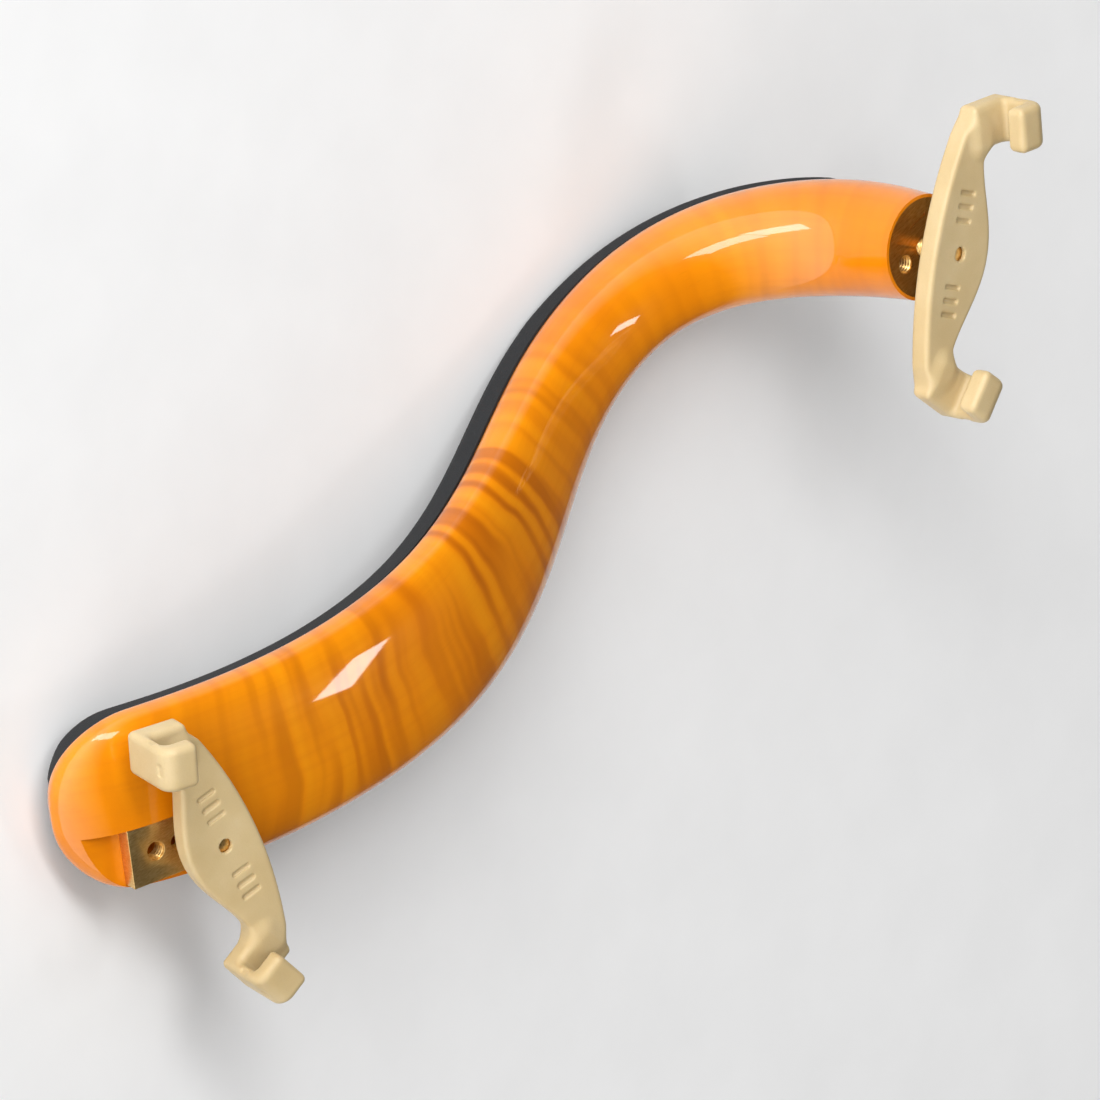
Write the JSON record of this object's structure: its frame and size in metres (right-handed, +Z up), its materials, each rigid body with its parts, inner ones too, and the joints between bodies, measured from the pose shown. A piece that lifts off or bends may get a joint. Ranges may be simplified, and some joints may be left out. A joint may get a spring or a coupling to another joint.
{
  "type": "violin shoulder rest",
  "caption": "S-curved flamed maple shoulder rest for a violin, with a foam pad underneath and rubber-covered claws that screw in and out of brass fittings at each end.",
  "frame": {"origin": "on the table, under the middle of the outline, with the rest lying on its pad and its claws up", "axes": "+X points to the wide end, +Z is up towards the violin, and +Y completes a right-handed frame, across the body"},
  "size_m": [0.2512, 0.0664, 0.0779],
  "materials": {
    "flamed_maple": "amber varnish, glossy",
    "black_foam": "matt closed-cell foam",
    "brass": "brushed",
    "core_steel": "plain, inside the rubber",
    "tan_rubber": "satin, light tan"
  },
  "bodies": {
    "rest": {"wood_body": "flamed_maple", "foam_pad": "black_foam", "wide_end_plate": "brass", "narrow_end_disc": "brass"},
    "wide_stud": {"wide_end_stud": "brass"},
    "wide_claw": {"wide_claw_core": "core_steel", "wide_claw_cover": "tan_rubber"},
    "narrow_stud": {"narrow_end_stud": "brass"},
    "narrow_claw": {"narrow_claw_core": "core_steel", "narrow_claw_cover": "tan_rubber"}
  },
  "joints": [
    {"name": "wide_stud_height", "type": "slide", "parent": "rest", "child": "wide_stud", "axis": [0.3024, 0, 0.9532], "range_m": [-0.00141, 0.00211]},
    {"name": "wide_claw_turn", "type": "hinge", "parent": "wide_stud", "child": "wide_claw", "pos_m": [0.10289, -0.00024, 0.02156], "axis": [0.3024, 0, 0.9532], "range_deg": [-720, 1080]},
    {"name": "narrow_stud_height", "type": "slide", "parent": "rest", "child": "narrow_stud", "axis": [0.0384, 0, 0.9993], "range_m": [-0.00141, 0.00141]},
    {"name": "narrow_claw_turn", "type": "hinge", "parent": "narrow_stud", "child": "narrow_claw", "pos_m": [-0.09856, 0.00105, 0.05672], "axis": [0.0384, 0, 0.9993], "range_deg": [-720, 720]}
  ],
  "couplings": [
    {"joint": "wide_stud_height", "follows": "wide_claw_turn", "m_per_rad": 0.00011141},
    {"joint": "narrow_stud_height", "follows": "narrow_claw_turn", "m_per_rad": 0.00011141}
  ]
}
